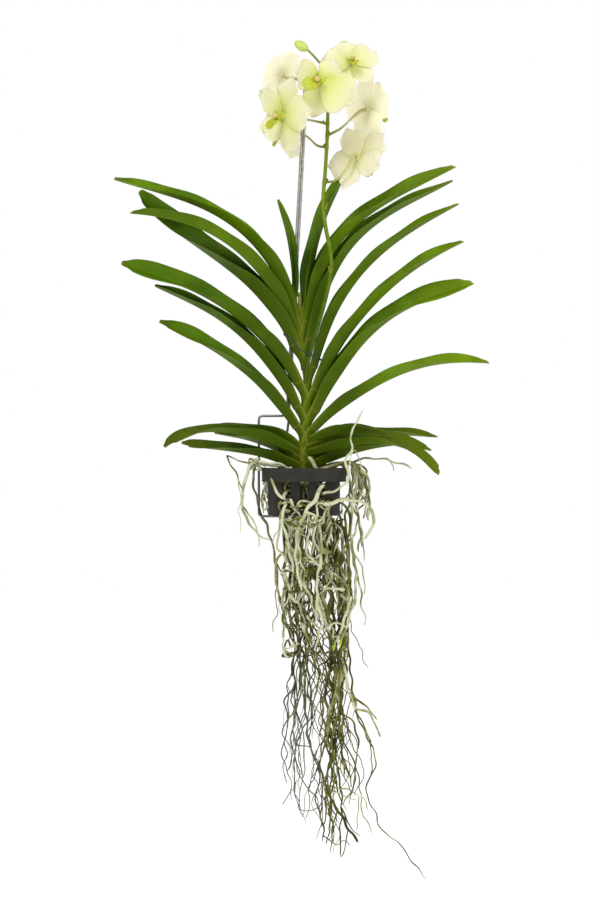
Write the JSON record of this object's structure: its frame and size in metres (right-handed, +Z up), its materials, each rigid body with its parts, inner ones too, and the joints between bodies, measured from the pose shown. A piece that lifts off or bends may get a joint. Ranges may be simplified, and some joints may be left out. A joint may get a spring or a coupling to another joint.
{
  "type": "hanging basket orchid",
  "caption": "Hanging orchid with two ranks of strap leaves, a spike of pale blooms and a slatted basket on a wire hanger, with long bare roots hanging free.",
  "frame": {"origin": "the point under the top of the hook where the hanger bears on its rail", "axes": "+Z up, +X to the right along the fan of leaves, +Y away from the side that the hook's mouth and the open blooms face"},
  "size_m": [0.4292, 0.1893, 0.963],
  "materials": {
    "basket_plastic": "satin",
    "hanger_steel": "satin",
    "tie_wire": "satin",
    "stem_tissue": "satin",
    "leaf_tissue": "satin",
    "old_leaf_tissue": "satin",
    "spike_tissue": "satin",
    "petal_tissue": "matte",
    "lip_tissue": "satin",
    "bud_tissue": "satin",
    "root_tissue": "matte"
  },
  "bodies": {
    "root": {"basket": "basket_plastic", "hanger": "hanger_steel", "stem": "stem_tissue", "leaf_left_01": "leaf_tissue", "leaf_left_02": "leaf_tissue", "leaf_left_03": "leaf_tissue", "leaf_left_04": "leaf_tissue", "leaf_left_05": "leaf_tissue", "leaf_left_06": "leaf_tissue", "leaf_left_07": "old_leaf_tissue", "leaf_left_08": "old_leaf_tissue", "leaf_left_09": "old_leaf_tissue", "leaf_left_10": "old_leaf_tissue", "leaf_centre_01": "leaf_tissue", "leaf_centre_02": "leaf_tissue", "leaf_right_01": "leaf_tissue", "leaf_right_02": "leaf_tissue", "leaf_right_03": "leaf_tissue", "leaf_right_04": "leaf_tissue", "leaf_right_05": "leaf_tissue", "leaf_right_06": "leaf_tissue", "leaf_right_07": "old_leaf_tissue", "leaf_right_08": "old_leaf_tissue", "leaf_right_09": "old_leaf_tissue", "leaf_right_10": "old_leaf_tissue", "leaf_right_11": "old_leaf_tissue", "bloom_01_tepals": "petal_tissue", "bloom_01_lip": "lip_tissue", "bloom_02_tepals": "petal_tissue", "bloom_02_lip": "lip_tissue", "bloom_03_tepals": "petal_tissue", "bloom_03_lip": "lip_tissue", "bloom_04_tepals": "petal_tissue", "bloom_04_lip": "lip_tissue", "bloom_05_tepals": "petal_tissue", "bloom_05_lip": "lip_tissue", "bloom_06_tepals": "petal_tissue", "bloom_06_lip": "lip_tissue", "bloom_07_tepals": "petal_tissue", "bloom_07_lip": "lip_tissue", "flower_spike": "spike_tissue", "bud": "bud_tissue", "stem_tie": "tie_wire", "roots": "root_tissue"}
  },
  "joints": []
}
